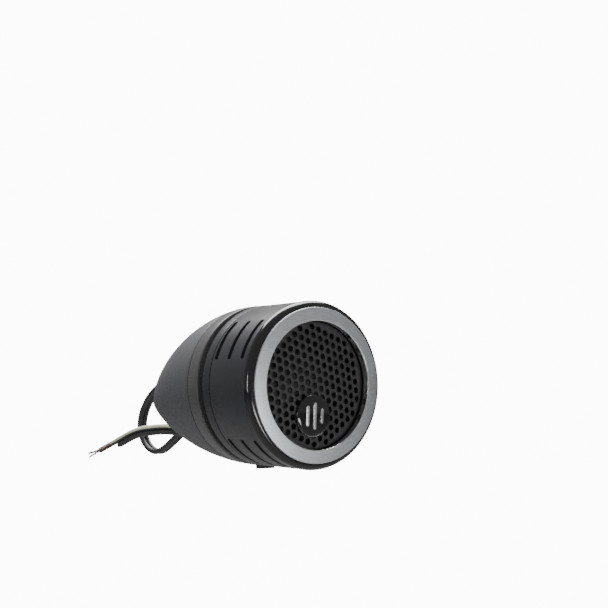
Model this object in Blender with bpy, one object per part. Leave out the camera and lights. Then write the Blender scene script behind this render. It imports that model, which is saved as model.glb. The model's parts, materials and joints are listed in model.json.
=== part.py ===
"""Car tweeter: an aimable capsule on a bullet-shaped pod that fastens to a dash or pillar.

Metres, +Z up. The mounting face is the plane y = 0, and the part lies on its -Y side. The tweeter's
own axis is level and leans SEAT_ANGLE away from the mounting face's normal. Turned pieces are drawn
in the axis frame: +Z forward along the axis with 0 at the front of the pod's rim, +Y up, and +X
towards the mounting face.
"""

from math import cos, pi, radians, sin, sqrt

import bmesh
import bpy
from mathutils import Matrix, Vector

MM = 0.001
FIT = 0.3 * MM  # clearance between two pieces that touch

# Driving dimensions
SEAT_ANGLE = radians(60)
SEAT_DEPTH = 51.0 * MM  # along the axis, from the rim to the mounting face
RIM_RADIUS = 24.0 * MM
RIM_DEPTH = 5.2 * MM
SPIGOT_DEPTH = 9.0 * MM  # how far the rim reaches into the shell
POD_LENGTH = 60.0 * MM  # rim to tip, before the seat is cut
POD_FULLNESS = 1.8  # exponent of the bullet curve
POD_DROOP = 6.2 * MM  # how far the tip hangs below the axis
POD_WALL = 1.6 * MM
FOOT_MIDDLE = 31.3 * MM  # along the axis, from the rim to the middle of the mounting face
PAD_THICKNESS = 1.0 * MM
PAD_INSET = 0.5 * MM  # how far the pad's edge lies inside the shell's
PLATE_THICKNESS = 2.0 * MM
NECK_GAP = 2.5 * MM
CAPSULE_LENGTH = 23.5 * MM
CAPSULE_RADIUS = 24.0 * MM  # at the rear
CAPSULE_FLARE = 0.4 * MM  # moulding draft, rear to front
SLEEVE_WALL = 1.6 * MM
BEZEL_RADIUS = 24.5 * MM
RING_OUTER = 22.55 * MM
RING_INNER = 18.6 * MM
RING_THICKNESS = 1.35 * MM
RING_PROUD = 0.35 * MM  # how far its outer edge stands ahead of the bezel
RING_CLEARANCE = 0.15 * MM
RING_CONE = 0.55 * MM  # how far its bore stands ahead of its outer edge
GRILLE_RISE = 0.9 * MM
BADGE_RADIUS = 6.15 * MM
BADGE_DROP = 8.7 * MM  # below the grille's middle
BADGE_ASIDE = -0.9 * MM
BADGE_LIFT = 0.15 * MM  # its flat back's middle off the grille
BADGE_CROWN = 1.2 * MM
BADGE_FALL = 0.45 * MM  # from its middle to its shoulder
DOME_RADIUS = 12.5 * MM
DOME_RISE = 3.2 * MM
PIVOT_Z = -4.5 * MM  # where the turn and tilt axes cross
NECK_RADIUS = 15.6 * MM
SWIVEL_RADIUS = 20.4 * MM
PIN_RADIUS = 1.2 * MM
LUG_HALF = 3.0 * MM
SCREW_CIRCLE = 18.4 * MM
SLOT_WIDTH = 1.6 * MM
SLOT_PITCH = 6.45 * MM
SLOT_FIRST = 8.0 * MM
SLOT_ARC = radians(32)
SLOT_START = radians(18)
CORD_RADIUS = 1.8 * MM
LEAD_RADIUS = 1.1 * MM
CABLE_EXIT = Vector((2.0, 0.0, -3.0)) * MM
CABLE_HOLE_RADIUS = 3.0 * MM
SHELL_SCREWS = (Vector((18.0, 0.0, 0.0)) * MM, Vector((-16.5, 0.0, -4.2)) * MM)

# Stations along the axis
SLEEVE_REAR = NECK_GAP + 3.8 * MM
FRONT = NECK_GAP + CAPSULE_LENGTH  # the bezel's front
BEZEL_SEAM = FRONT - 2.4 * MM
RING_FACE = FRONT + RING_PROUD  # its outer edge
RING_SEAT = RING_FACE - RING_THICKNESS - FIT
PLATE_REAR = FRONT - 9.1 * MM
PLATE_FRONT = FRONT - 7.2 * MM
MOTOR_REAR = NECK_GAP + 5.5 * MM
MOTOR_FRONT = PLATE_REAR - 0.4 * MM
GRILLE_EDGE = FRONT - 1.9 * MM

FINE = 40  # facets round a piece that shows
COARSE = 24  # facets round a hidden one

# The free cord's route from the strain relief, in millimetres: straight out, one relaxed loop,
# and a run off to the side where its two conductors are bare.
CORD_ROUTE = (
    (2, 4.6, -3), (2, 7.5, -3), (1.2, 11, -3.5), (-2.5, 14.5, -5), (-9, 16, -7.2),
    (-17, 15.3, -10.2), (-23, 14.3, -14), (-28.5, 14.3, -19), (-35, 16.5, -23), (-41, 19, -20),
    (-43.2, 20, -14), (-41.5, 19, -8), (-37, 17, -2.5), (-30.5, 14, 1.5), (-24, 11.4, 3.4),
    (-18, 9.2, 3.8), (-12, 7.6, 2.4), (-7.6, 6.6, -1), (-6, 6, -5.5), (-7.6, 5.8, -10),
    (-12, 5.6, -13.3), (-17, 5.6, -14.7), (-22, 6.2, -14.9), (-27.5, 7, -14.5),
    (-33.5, 7.5, -15), (-39.5, 8.5, -16), (-47, 10, -19.5), (-54.5, 11.5, -23),
)
CORD_POINTS = 44  # on the finished tube
TIP_ENDS = ((-60.3, 12.8, -23.6), (-60.2, 13.0, -24.8))  # of the two bare conductors
TIP_GAP = 0.6 * MM  # between the insulation and each of them


def bullet_radius(along):
    """The pod's outer radius at a distance behind the rim."""
    return RIM_RADIUS * (1 - (max(along, 0) / POD_LENGTH) ** POD_FULLNESS)


def droop(along):
    """How far the pod's middle lies below the axis there."""
    return POD_DROOP * (max(along, 0) / POD_LENGTH) ** 2


def towards_seat(along, height):
    """Axis-frame X of the plane y = height at a distance behind the rim."""
    return (height + (SEAT_DEPTH - along) * cos(SEAT_ANGLE)) / sin(SEAT_ANGLE)


# The rim's centre, placed so that the mounting face's middle is the origin.
RIM_CENTRE = Vector((
    FOOT_MIDDLE * sin(SEAT_ANGLE) - towards_seat(FOOT_MIDDLE, 0) * cos(SEAT_ANGLE),
    -SEAT_DEPTH * cos(SEAT_ANGLE),
    0,
))


def start_empty():
    for thing in list(bpy.data.objects):
        bpy.data.objects.remove(thing, do_unlink=True)


def finish(name, colour, roughness, metallic=0.0):
    made = bpy.data.materials.new(name)
    made.use_nodes = True
    shader = made.node_tree.nodes["Principled BSDF"]
    shader.inputs["Base Color"].default_value = (*colour, 1)
    shader.inputs["Roughness"].default_value = roughness
    shader.inputs["Metallic"].default_value = metallic
    made.diffuse_color = (*colour, 1)
    return made


def frame_empty(name, height, parent=None):
    """An empty on the axis at a height along it, with +Z forward."""
    empty = bpy.data.objects.new(name, None)
    bpy.context.collection.objects.link(empty)
    if parent is None:
        turn = Matrix.Rotation(SEAT_ANGLE, 4, "Z") @ Matrix.Rotation(pi / 2, 4, "X")
        empty.matrix_world = Matrix.Translation(RIM_CENTRE) @ turn
    else:
        empty.parent = parent
        empty.location = (0, 0, height - parent["height"])
    empty["height"] = height
    return empty


def place(name, bm, look, parent=None, angle=radians(35)):
    """Make an object of a bmesh drawn in the axis frame, or in the world with no parent."""
    bmesh.ops.recalc_face_normals(bm, faces=bm.faces)
    if bm.calc_volume(signed=True) < 0:
        bmesh.ops.reverse_faces(bm, faces=bm.faces)
    mesh = bpy.data.meshes.new(name)
    bm.to_mesh(mesh)
    bm.free()
    mesh.shade_smooth()
    mesh.set_sharp_from_angle(angle=angle)
    thing = bpy.data.objects.new(name, mesh)
    bpy.context.collection.objects.link(thing)
    if look:
        mesh.materials.append(look)
    if parent:
        thing.parent = parent
        mesh.transform(Matrix.Translation((0, 0, -parent["height"])))
    return thing


def revolve(profile, facets):
    """A bmesh turned about Z from (radius, z) points: a closed loop, or axis to axis."""
    bm = bmesh.new()
    rings = []
    for radius, z in profile:
        if radius == 0:
            rings.append([bm.verts.new((0, 0, z))] * facets)
            continue
        turns = (2 * pi * k / facets for k in range(facets))
        rings.append([bm.verts.new((radius * cos(a), radius * sin(a), z)) for a in turns])
    to_axis = profile[0][0] == 0 and profile[-1][0] == 0
    pairs = list(zip(rings, rings[1:] + rings[:1]))[: len(rings) - to_axis]
    for one, two in pairs:
        for k in range(facets):
            n = (k + 1) % facets
            corners = dict.fromkeys((one[k], one[n], two[n], two[k]))
            bm.faces.new(list(corners))
    return bm


def turned(name, profile, look, parent, facets=COARSE):
    return place(name, revolve(profile, facets), look, parent)


def block(low, high):
    """A box bmesh between two corners."""
    bm = bmesh.new()
    bmesh.ops.create_cube(bm, size=1)
    low, high = Vector(low), Vector(high)
    for vert in bm.verts:
        vert.co = Vector(l + (c + 0.5) * (h - l) for l, h, c in zip(low, high, vert.co))
    return bm


def rod(start, end, radius, facets=10, tip=None):
    """A round bar between two points, with its end radius tip if it tapers."""
    start, end = Vector(start), Vector(end)
    bm = bmesh.new()
    bmesh.ops.create_cone(
        bm, cap_ends=True, segments=facets, radius1=radius,
        radius2=radius if tip is None else tip, depth=(end - start).length,
    )
    turn = (end - start).to_track_quat("Z", "Y").to_matrix().to_4x4()
    turn @= Matrix.Rotation(0.07, 4, "Z")  # keeps its edges off those of what it meets
    bm.transform(Matrix.Translation((start + end) / 2) @ turn)
    return bm


def combine(target, bm, operation="DIFFERENCE"):
    """Cut a bmesh from an object, or join it on; both are drawn in the object's own frame."""
    tool = place(target.name + "_tool", bm, None)
    if target.parent:
        tool.parent = target.parent
        tool.data.transform(Matrix.Translation((0, 0, -target.parent["height"])))
    tool.hide_render = True
    tool.display_type = "WIRE"
    step = target.modifiers.new("shape", "BOOLEAN")
    step.operation = operation
    step.solver = "EXACT"
    step.object = tool


def bullet(inset, start, stations, facets):
    """Rings of points on the pod's surface or, with an inset, inside it, from start to the tip."""
    reach = POD_LENGTH * (1 - inset / RIM_RADIUS) ** (1 / POD_FULLNESS)
    rings = []
    for k in range(stations):
        along = start + (reach - start) * k / stations
        radius = bullet_radius(along) - inset
        angles = (2 * pi * n / facets for n in range(facets))
        rings.append([(radius * cos(a), radius * sin(a) - droop(along), -along) for a in angles])
    return rings, (0, -droop(reach), -reach)


def skin(bm, rings, tip):
    """Faces over the rings, closed at the tip; the first ring is left open and returned."""
    grid = [[bm.verts.new(p) for p in ring] for ring in rings]
    end = bm.verts.new(tip)
    count = len(grid[0])
    for one, two in zip(grid, grid[1:]):
        for k in range(count):
            bm.faces.new((one[k], one[(k + 1) % count], two[(k + 1) % count], two[k]))
    for k in range(count):
        bm.faces.new((grid[-1][k], grid[-1][(k + 1) % count], end))
    return grid[0]


def foot_outline(heights, inset, points=22):
    """Where the pod's cross-sections by the planes y = heights all overlap, as (x, z) points."""

    def section(x, height):
        """Half the section's height there, squared, and how far its middle has drooped."""
        away = Vector((x, height, 0)) - RIM_CENTRE
        along = away.y * cos(SEAT_ANGLE) - away.x * sin(SEAT_ANGLE)
        across = away.x * cos(SEAT_ANGLE) + away.y * sin(SEAT_ANGLE)
        room = bullet_radius(along) - inset
        return room * abs(room) - across**2, droop(along)

    def inside(x):
        return min(section(x, height)[0] for height in heights)

    ends = []
    for far in (-RIM_RADIUS * 2, RIM_RADIUS * 2):
        near = 0.0
        for _ in range(40):
            middle = (near + far) / 2
            near, far = (middle, far) if inside(middle) > 0 else (near, middle)
        ends.append(near)
    upper, lower = [], []
    for k in range(points + 1):
        x = ends[0] + (ends[1] - ends[0]) * (1 - cos(pi * k / points)) / 2
        half = sqrt(max(inside(x), 0))
        sag = section(x, heights[0])[1]
        upper.append((x, half - sag))
        lower.append((x, -half - sag))
    return upper + lower[-2:0:-1]


def slab(outline, low, high):
    """An outline in x and z made solid between y = low and y = high."""
    bm = bmesh.new()
    one = [bm.verts.new((x, low, z)) for x, z in outline]
    two = [bm.verts.new((x, high, z)) for x, z in outline]
    bm.faces.new(one)
    bm.faces.new(two)
    for k in range(len(one)):
        n = (k + 1) % len(one)
        bm.faces.new((one[k], one[n], two[n], two[k]))
    return bm


def smooth_route(points, count):
    """Evenly spaced points on a smooth curve through and beside the route's points."""
    pins = [Vector(p) * MM for p in points]
    pins = [pins[0] * 2 - pins[1]] + pins + [pins[-1] * 2 - pins[-2]]
    fine = []
    for a, b, c, d in zip(pins, pins[1:], pins[2:], pins[3:]):
        for k in range(12):
            t = k / 12
            fine.append(
                (2 * b + (c - a) * t + (2 * a - 5 * b + 4 * c - d) * t * t
                 + (3 * b - a - 3 * c + d) * t**3) / 2
            )
    fine.append(pins[-2])
    for _ in range(30):
        middle = [(a + 2 * b + c) / 4 for a, b, c in zip(fine, fine[1:], fine[2:])]
        fine = [fine[0], *middle, fine[-1]]
    along = [0.0]
    for a, b in zip(fine, fine[1:]):
        along.append(along[-1] + (b - a).length)
    spaced, at = [], 0
    for k in range(count):
        target = along[-1] * k / (count - 1)
        while at < len(fine) - 2 and along[at + 1] < target:
            at += 1
        share = (target - along[at]) / (along[at + 1] - along[at])
        spaced.append(fine[at].lerp(fine[at + 1], share))
    return spaced


def tube(name, points, radius, look, parent=None):
    """A round lead along points, as a curve with capped ends."""
    line = bpy.data.curves.new(name, "CURVE")
    line.dimensions = "3D"
    line.bevel_depth = radius
    line.bevel_resolution = 2
    line.use_fill_caps = True
    spline = line.splines.new("POLY")
    spline.points.add(len(points) - 1)
    height = parent["height"] if parent else 0
    for pin, point in zip(spline.points, points):
        pin.co = (point[0], point[1], point[2] - height, 1)
    line.materials.append(look)
    thing = bpy.data.objects.new(name, line)
    bpy.context.collection.objects.link(thing)
    thing.parent = parent
    return thing


def make_pod(axis, looks):
    """The fixed half: rim ring, bullet shell, and the plate and pad that close and mount it."""
    rim_back = bullet_radius(RIM_DEPTH)
    spigot = bullet_radius(SPIGOT_DEPTH) - POD_WALL - FIT
    bore = SWIVEL_RADIUS + FIT
    lip = NECK_RADIUS + 3.4 * MM
    turned("pod_rim", [
        (lip, 0), (RIM_RADIUS - 0.6 * MM, 0), (RIM_RADIUS - 0.15 * MM, -0.2 * MM),
        (RIM_RADIUS, -0.7 * MM), (bullet_radius(3 * MM), -3 * MM), (rim_back, -RIM_DEPTH),
        (spigot, -RIM_DEPTH), (spigot, -SPIGOT_DEPTH), (bore, -SPIGOT_DEPTH), (bore, -1.7 * MM),
        (lip, -1.7 * MM),
    ], looks["rim grey"], axis, FINE)
    turned("retaining_ring", [
        (SWIVEL_RADIUS - 2.4 * MM, -7.7 * MM), (SWIVEL_RADIUS, -7.7 * MM),
        (SWIVEL_RADIUS, -8.9 * MM), (SWIVEL_RADIUS - 2.4 * MM, -8.9 * MM),
    ], looks["black"], axis)

    # The shell is drawn as a thick cup and cut off along the seat.
    cut_at = -PAD_THICKNESS - 0.2 * MM
    bm = bmesh.new()
    start = RIM_DEPTH + FIT
    outer = skin(bm, *bullet(0, start, 14, FINE))
    inner = skin(bm, *bullet(POD_WALL, start, 12, FINE))
    for k in range(FINE):
        n = (k + 1) % FINE
        bm.faces.new((outer[k], outer[n], inner[n], inner[k]))
    shell = place("pod_shell", bm, looks["pod grey"], axis)
    beyond = 60 * MM
    seat = place("seat_tool", block((-beyond, cut_at, -beyond), (beyond, beyond, beyond)), None)
    seat.hide_render = True
    seat.display_type = "WIRE"
    step = shell.modifiers.new("seat", "BOOLEAN")
    step.solver = "EXACT"
    step.object = seat

    # The plate drops inside the shell's edge and the pad covers both.
    plate_back = cut_at - PLATE_THICKNESS
    plate = place(
        "base_plate", slab(foot_outline((plate_back, cut_at), POD_WALL + FIT), plate_back, cut_at),
        looks["black"],
    )
    pad = place(
        "mounting_pad", slab(foot_outline((0, -PAD_THICKNESS), PAD_INSET), -PAD_THICKNESS, 0),
        looks["foam"],
    )
    reach = Vector((0, 2 * PLATE_THICKNESS, 0))
    for target in (plate, pad):
        combine(target, rod(CABLE_EXIT - reach, CABLE_EXIT + reach, CABLE_HOLE_RADIUS, 24))
    for number, at in enumerate(SHELL_SCREWS, 1):
        top = Vector((at.x, cut_at, at.z))
        back = Vector((0, -1, 0))
        combine(plate, rod(top - back * MM, top + back * 4 * MM, 1.4 * MM))
        combine(plate, rod(top - back * MM, top + back * 1.1 * MM, 2.6 * MM))
        profile = ((0, -0.1), (2.2, -0.1), (2.2, -0.8), (1.05, -0.8), (1.05, -5.6), (0, -6.2))
        bm = revolve([(r * MM, z * MM) for r, z in profile], 12)
        bmesh.ops.rotate(bm, verts=bm.verts, matrix=Matrix.Rotation(-pi / 2, 3, "X"))
        bmesh.ops.translate(bm, verts=bm.verts, vec=top)
        place(f"base_screw_{number}", bm, looks["steel"])

    # The rubber strain relief grips the plate's hole and tapers to the cord.
    relief = revolve([(r * MM, z * MM) for r, z in (
        (0, -5.2), (2.2, -5.2), (4.3, -4.9), (4.3, -3.5), (2.7, -3.5), (2.7, 0.6),
        (2.5, 1.4), (2.2, 4.3), (0, 4.3),
    )], 24)
    bmesh.ops.rotate(relief, verts=relief.verts, matrix=Matrix.Rotation(-pi / 2, 3, "X"))
    bmesh.ops.translate(relief, verts=relief.verts, vec=CABLE_EXIT)
    place("strain_relief", relief, looks["rubber"])


def make_swivel(turn, looks):
    """The ring that turns in the rim and carries the tilt pins."""
    inner = NECK_RADIUS + 0.6 * MM
    front, back = PIVOT_Z + 2.4 * MM, PIVOT_Z - 2.4 * MM
    groove = 1.2 * MM
    ring = turned("swivel_ring", [
        (inner, front), (SWIVEL_RADIUS, front), (SWIVEL_RADIUS, PIVOT_Z + 2.1 * MM),
        (SWIVEL_RADIUS, back + groove + 0.4 * MM), (SWIVEL_RADIUS - MM, back + groove + 0.4 * MM),
        (SWIVEL_RADIUS - MM, back + 0.4 * MM), (SWIVEL_RADIUS, back + 0.4 * MM),
        (SWIVEL_RADIUS, back), (inner, back),
    ], looks["acetal"], turn)
    turned("friction_ring", [
        (SWIVEL_RADIUS - 0.8 * MM, back + groove + 0.2 * MM),
        (SWIVEL_RADIUS + 0.05 * MM, back + groove + 0.2 * MM),
        (SWIVEL_RADIUS + 0.05 * MM, back + 0.6 * MM),
        (SWIVEL_RADIUS - 0.8 * MM, back + 0.6 * MM),
    ], looks["rubber"], turn)
    start = NECK_RADIUS - 1.9 * MM
    for name, side in (("pivot_pin_upper", 1), ("pivot_pin_lower", -1)):
        through = rod((0, side * (inner - MM), PIVOT_Z),
                      (0, side * (SWIVEL_RADIUS + MM), PIVOT_Z), PIN_RADIUS + 0.2 * MM)
        combine(ring, through)
        pin = rod((0, side * start, PIVOT_Z), (0, side * (SWIVEL_RADIUS - 1.2 * MM), PIVOT_Z),
                  PIN_RADIUS)
        place(name, pin, looks["steel"], turn)

    # The pivot lug comes out through the gap at the lower pin and shows which way the capsule tilts.
    foot, heel, reach = inner + 0.2 * MM, NECK_RADIUS + 3.0 * MM, RIM_RADIUS + 0.9 * MM
    top = NECK_GAP - 0.4 * MM
    bm = slab(((foot, front + FIT), (heel, front + FIT), (heel, FIT), (reach, FIT),
               (reach, top), (foot, top)), -LUG_HALF, LUG_HALF)
    bmesh.ops.rotate(bm, verts=bm.verts, matrix=Matrix.Rotation(-pi / 2, 3, "Z"))
    lug = place("pivot_lug", bm, looks["black"], turn)
    soften = lug.modifiers.new("soften", "BEVEL")
    soften.width = 0.3 * MM
    soften.segments = 2


def make_capsule(tilt, looks):
    """The aimable capsule's covers: rear cover with its neck, slotted sleeve, bezel and ring."""
    rear, wall = NECK_GAP, NECK_GAP + 1.9 * MM
    spigot = CAPSULE_RADIUS - SLEEVE_WALL - FIT
    neck_bore = NECK_RADIUS - 1.6 * MM
    cover = turned("neck_cover", [
        (neck_bore, -8.2 * MM), (NECK_RADIUS, -8.2 * MM), (NECK_RADIUS, rear),
        (CAPSULE_RADIUS - 0.5 * MM, rear), (CAPSULE_RADIUS - 0.1 * MM, rear + 0.15 * MM),
        (CAPSULE_RADIUS, rear + 0.5 * MM), (CAPSULE_RADIUS, SLEEVE_REAR - FIT),
        (spigot, SLEEVE_REAR - FIT), (spigot, SLEEVE_REAR + 2.4 * MM),
        (spigot - 1.4 * MM, SLEEVE_REAR + 2.4 * MM), (spigot - 1.4 * MM, wall), (neck_bore, wall),
    ], looks["satin black"], tilt, FINE)
    for side in (1, -1):
        combine(cover, rod((0, side * (neck_bore - MM), PIVOT_Z),
                           (0, side * (NECK_RADIUS + MM), PIVOT_Z), PIN_RADIUS + 0.2 * MM))
    for number in range(3):
        angle = pi / 2 + 2 * pi * (number + 0.5) / 3
        x, y = SCREW_CIRCLE * cos(angle), SCREW_CIRCLE * sin(angle)
        combine(cover, rod((x, y, rear - MM), (x, y, wall + MM), 1.25 * MM))
        combine(cover, rod((x, y, rear - MM), (x, y, rear + 1.0 * MM), 2.2 * MM))
        profile = ((0, 0.1), (1.9, 0.1), (1.9, 0.75), (0.9, 0.75), (0.9, 11.0), (0, 11.6))
        bm = revolve([(r * MM, rear + z * MM) for r, z in profile], 12)
        bmesh.ops.translate(bm, verts=bm.verts, vec=(x, y, 0))
        place(f"cover_screw_{number + 1}", bm, looks["steel"], tilt)

    front = BEZEL_SEAM - 0.2 * MM
    wide = CAPSULE_RADIUS + CAPSULE_FLARE
    inside = CAPSULE_RADIUS - SLEEVE_WALL
    sleeve = turned("capsule_sleeve", [
        (inside, SLEEVE_REAR), (CAPSULE_RADIUS - 0.1 * MM, SLEEVE_REAR),
        (CAPSULE_RADIUS, SLEEVE_REAR + 0.1 * MM), (wide, front - 0.6 * MM),
        (wide - 0.15 * MM, front - 0.15 * MM), (wide - 0.5 * MM, front), (inside, front),
    ], looks["satin black"], tilt, FINE)
    combine(sleeve, vent_cutter())

    # The bezel's front edge is a quarter round that ends beside the ring.
    seat_radius = RING_OUTER + RING_CLEARANCE
    low, high = BEZEL_SEAM + 0.3 * MM, FRONT - 0.3 * MM
    edge = [(seat_radius + (BEZEL_RADIUS - seat_radius) * cos(pi * k / 12),
             low + (high - low) * sin(pi * k / 12)) for k in range(7)]
    bore = RING_INNER + RING_CLEARANCE
    skirt = FRONT - 6 * MM
    turned("front_bezel", [
        (bore, skirt), (inside - FIT, skirt), (inside - FIT, BEZEL_SEAM),
        (BEZEL_RADIUS, BEZEL_SEAM), *edge, (seat_radius, RING_SEAT), (bore, RING_SEAT),
    ], looks["gloss black"], tilt, FINE)
    turned("trim_ring", [
        (RING_INNER, RING_FACE - RING_THICKNESS), (RING_OUTER, RING_FACE - RING_THICKNESS),
        (RING_OUTER, RING_FACE - 0.1 * MM), (RING_OUTER - 0.1 * MM, RING_FACE),
        (RING_INNER + 0.25 * MM, RING_FACE + RING_CONE),
        (RING_INNER, RING_FACE + RING_CONE - 0.2 * MM),
    ], looks["aluminium"], tilt, FINE)


def vent_cutter():
    """Four groups of three arc-shaped slots, as one set of cutters."""
    bm = bmesh.new()
    steps = 6
    inner, outer = CAPSULE_RADIUS - SLEEVE_WALL - MM, CAPSULE_RADIUS + 2 * MM
    for group in range(4):
        for row in range(3):
            low = SLOT_FIRST + row * SLOT_PITCH - SLOT_WIDTH / 2
            high = low + SLOT_WIDTH
            ribs = []
            for k in range(steps + 1):
                # angles run up from the side that faces away from the mounting face
                angle = pi - (SLOT_START + SLOT_ARC * k / steps + group * pi / 2)
                spots = ((inner, low), (outer, low), (outer, high), (inner, high))
                ribs.append([bm.verts.new((r * cos(angle), r * sin(angle), z)) for r, z in spots])
            for one, two in zip(ribs, ribs[1:]):
                for n in range(4):
                    bm.faces.new((one[n], one[n - 1], two[n - 1], two[n]))
            bm.faces.new(ribs[0])
            bm.faces.new(ribs[-1])
    return bm


def make_grille(tilt, looks):
    """The domed grille, its badge and the three plain bars on the badge."""
    edge = RING_INNER - 0.15 * MM
    sphere = (edge**2 + GRILLE_RISE**2) / (2 * GRILLE_RISE)
    top = GRILLE_EDGE + GRILLE_RISE
    sheet = 0.6 * MM
    arcs = [edge * k / 6 for k in range(7)]
    outside = [(r, top - sphere + sqrt(sphere**2 - r**2)) for r in arcs]
    within = [(r * (1 - sheet / edge), z - sheet) for r, z in reversed(outside)]
    skirt = GRILLE_EDGE - 1.6 * MM
    turned("grille", [*outside, (edge, skirt), (edge - sheet, skirt), *within],
           looks["grille black"], tilt, FINE)

    badge_axis = bpy.data.objects.new("badge_axis", None)
    bpy.context.collection.objects.link(badge_axis)
    badge_axis.parent = tilt
    height = top - sphere + sqrt(sphere**2 - BADGE_DROP**2)
    badge_axis.location = (BADGE_ASIDE, -BADGE_DROP, height - tilt["height"])
    badge_axis.rotation_euler = (BADGE_DROP / sphere, 0, 0)
    badge_axis["height"] = 0.0
    shoulder, crown = BADGE_LIFT + 0.5 * MM, BADGE_LIFT + BADGE_CROWN
    dome = [(BADGE_RADIUS * 0.92 * (1 - k / 4), crown - BADGE_FALL * (1 - k / 4) ** 2)
            for k in range(5)]
    turned("badge", [(0, BADGE_LIFT), (BADGE_RADIUS - 0.1 * MM, BADGE_LIFT),
                     (BADGE_RADIUS, shoulder), *dome],
           looks["gloss black"], badge_axis)
    # Three plain bars stand just clear of the badge's crown, which falls away to each side.
    low = crown + 0.02 * MM
    half_width, tall = 0.5 * MM, 0.3 * MM
    for number, (x, half) in enumerate(((2.6, 2.2), (0.0, 3.9), (-2.6, 3.0)), 1):
        x, half = x * MM, half * MM
        bar = block((x - half_width, -half, low), (x + half_width, half, low + tall))
        place(f"badge_bar_{number}", bar, looks["silver"], badge_axis)


def make_driver(tilt, travel, looks):
    """The tweeter itself: face plate, dome, surround, voice coil and magnet system."""
    inside = CAPSULE_RADIUS - SLEEVE_WALL - FIT
    plate = turned("face_plate", [
        (13.8 * MM, PLATE_REAR), (inside, PLATE_REAR), (inside, PLATE_FRONT),
        (17.6 * MM, PLATE_FRONT), (17.6 * MM, PLATE_FRONT - 0.6 * MM),
        (13.8 * MM, PLATE_FRONT - 0.6 * MM),
    ], looks["black"], tilt)
    for number in range(3):
        angle = pi / 2 + 2 * pi * (number + 0.5) / 3
        x, y = SCREW_CIRCLE * cos(angle), SCREW_CIRCLE * sin(angle)
        foot = NECK_GAP + 2.3 * MM
        combine(plate, rod((x, y, foot), (x, y, PLATE_REAR + 0.6 * MM), 1.9 * MM), "UNION")
        combine(plate, rod((x, y, foot - MM), (x, y, foot + 10.5 * MM), 1.15 * MM))

    cup, gap_wall = 15.4 * MM, 13.5 * MM
    magnet_floor = MOTOR_REAR + 1.8 * MM
    magnet_top = magnet_floor + FIT + 3.9 * MM
    turned("yoke_cup", [
        (0, MOTOR_REAR), (cup, MOTOR_REAR), (cup, MOTOR_FRONT), (gap_wall, MOTOR_FRONT),
        (gap_wall, magnet_floor), (0, magnet_floor),
    ], looks["zinc"], tilt)
    turned("magnet", [
        (0, magnet_floor + FIT), (11.5 * MM, magnet_floor + FIT), (11.5 * MM, magnet_top),
        (0, magnet_top),
    ], looks["nickel"], tilt)
    turned("top_plate", [
        (0, magnet_top + FIT), (12.1 * MM, magnet_top + FIT), (12.1 * MM, MOTOR_FRONT),
        (0, MOTOR_FRONT),
    ], looks["zinc"], tilt)
    turned("damping_pad", [
        (0, MOTOR_FRONT + FIT), (8.5 * MM, MOTOR_FRONT + FIT), (8.5 * MM, MOTOR_FRONT + 1.1 * MM),
        (0, MOTOR_FRONT + 1.1 * MM),
    ], looks["felt"], tilt)

    skirt = PLATE_FRONT + 0.3 * MM
    sheet = 0.3 * MM
    sphere = (DOME_RADIUS**2 + DOME_RISE**2) / (2 * DOME_RISE)
    shape = [(DOME_RADIUS * k / 6, skirt + DOME_RISE - sphere
              + sqrt(sphere**2 - (DOME_RADIUS * k / 6) ** 2)) for k in range(7)]
    turned("dome", [*shape, (DOME_RADIUS, skirt - sheet),
                    *((r * 0.97, z - sheet) for r, z in reversed(shape))], looks["silk"], travel)
    coil_bottom = PLATE_FRONT - 5.4 * MM
    turned("voice_coil_former", [
        (12.45 * MM, coil_bottom), (12.65 * MM, coil_bottom), (12.65 * MM, skirt - 0.5 * MM),
        (12.45 * MM, skirt - 0.5 * MM),
    ], looks["kapton"], travel)
    turned("voice_coil_winding", [
        (12.8 * MM, coil_bottom + 0.3 * MM), (13.1 * MM, coil_bottom + 0.3 * MM),
        (13.1 * MM, coil_bottom + 3 * MM), (12.8 * MM, coil_bottom + 3 * MM),
    ], looks["copper"], travel)
    roll = [(14.5 * MM - 1.6 * MM * cos(pi * k / 6), skirt + 1.3 * MM * sin(pi * k / 6))
            for k in range(7)]
    turned("surround", [
        *roll, (17.3 * MM, skirt), (17.3 * MM, skirt - sheet), (15.9 * MM, skirt - sheet),
        *((14.5 * MM + (r - 14.5 * MM) * 0.8, z - sheet) for r, z in reversed(roll[1:-1])),
        (12.9 * MM, skirt - sheet),
    ], looks["silk"], tilt)

    board = MOTOR_REAR - FIT
    place("terminal_board", block((-7 * MM, -4 * MM, board - 1.2 * MM), (7 * MM, 4 * MM, board)),
          looks["board"], tilt)
    for name, side in (("terminal_plus", 1), ("terminal_minus", -1)):
        x = side * 4.5 * MM
        place(name, block((x - 1.2 * MM, -0.3 * MM, board - 4.6 * MM),
                          (x + 1.2 * MM, 0.3 * MM, board - 1.4 * MM)), looks["brass"], tilt)


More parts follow.
